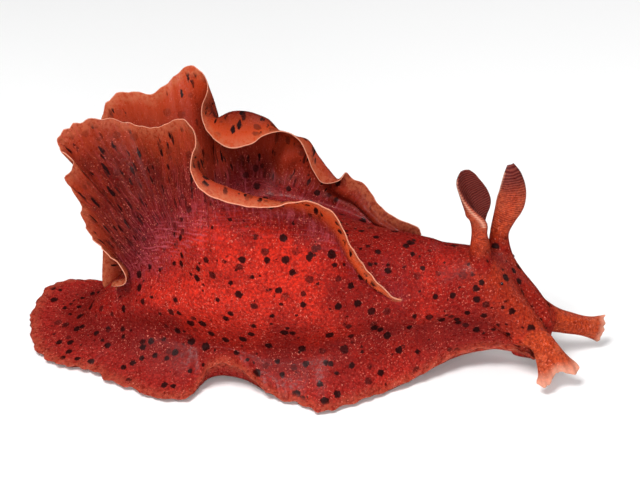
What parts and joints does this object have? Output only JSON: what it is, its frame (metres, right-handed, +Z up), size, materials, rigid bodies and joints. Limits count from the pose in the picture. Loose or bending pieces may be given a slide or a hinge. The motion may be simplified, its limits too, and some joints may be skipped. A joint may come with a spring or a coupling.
{
  "type": "california sea hare model",
  "caption": "Still, life-size model of a crawling sea hare with raised, ruffled parapodia, rhinophores and oral tentacles, resting on its flat foot.",
  "frame": {"origin": "middle of the footprint of the whole model's box, on the floor that the sole rests on", "axes": "+X towards the head, +Y towards the animal's left, +Z up"},
  "size_m": [0.3068, 0.1399, 0.1302],
  "materials": {
    "skin": "wet deep red skin with black spots and pale edges",
    "mantle_skin": "wet dark red skin",
    "eye": "gloss black"
  },
  "bodies": {
    "root": {"foot_tail": "skin", "foot_middle": "skin", "foot_front": "skin", "body_rear": "skin", "body_middle": "skin", "body_front": "skin", "neck": "skin", "head": "skin", "parapodium_right_rear": "skin", "parapodium_right_middle": "skin", "parapodium_right_front": "skin", "parapodium_left_rear": "skin", "parapodium_left_middle": "skin", "parapodium_left_front": "skin", "rhinophore_right": "skin", "rhinophore_left": "skin", "oral_tentacle_right": "skin", "oral_tentacle_left": "skin", "mantle": "mantle_skin", "siphon": "mantle_skin", "eye_right": "eye", "eye_left": "eye"}
  },
  "joints": []
}
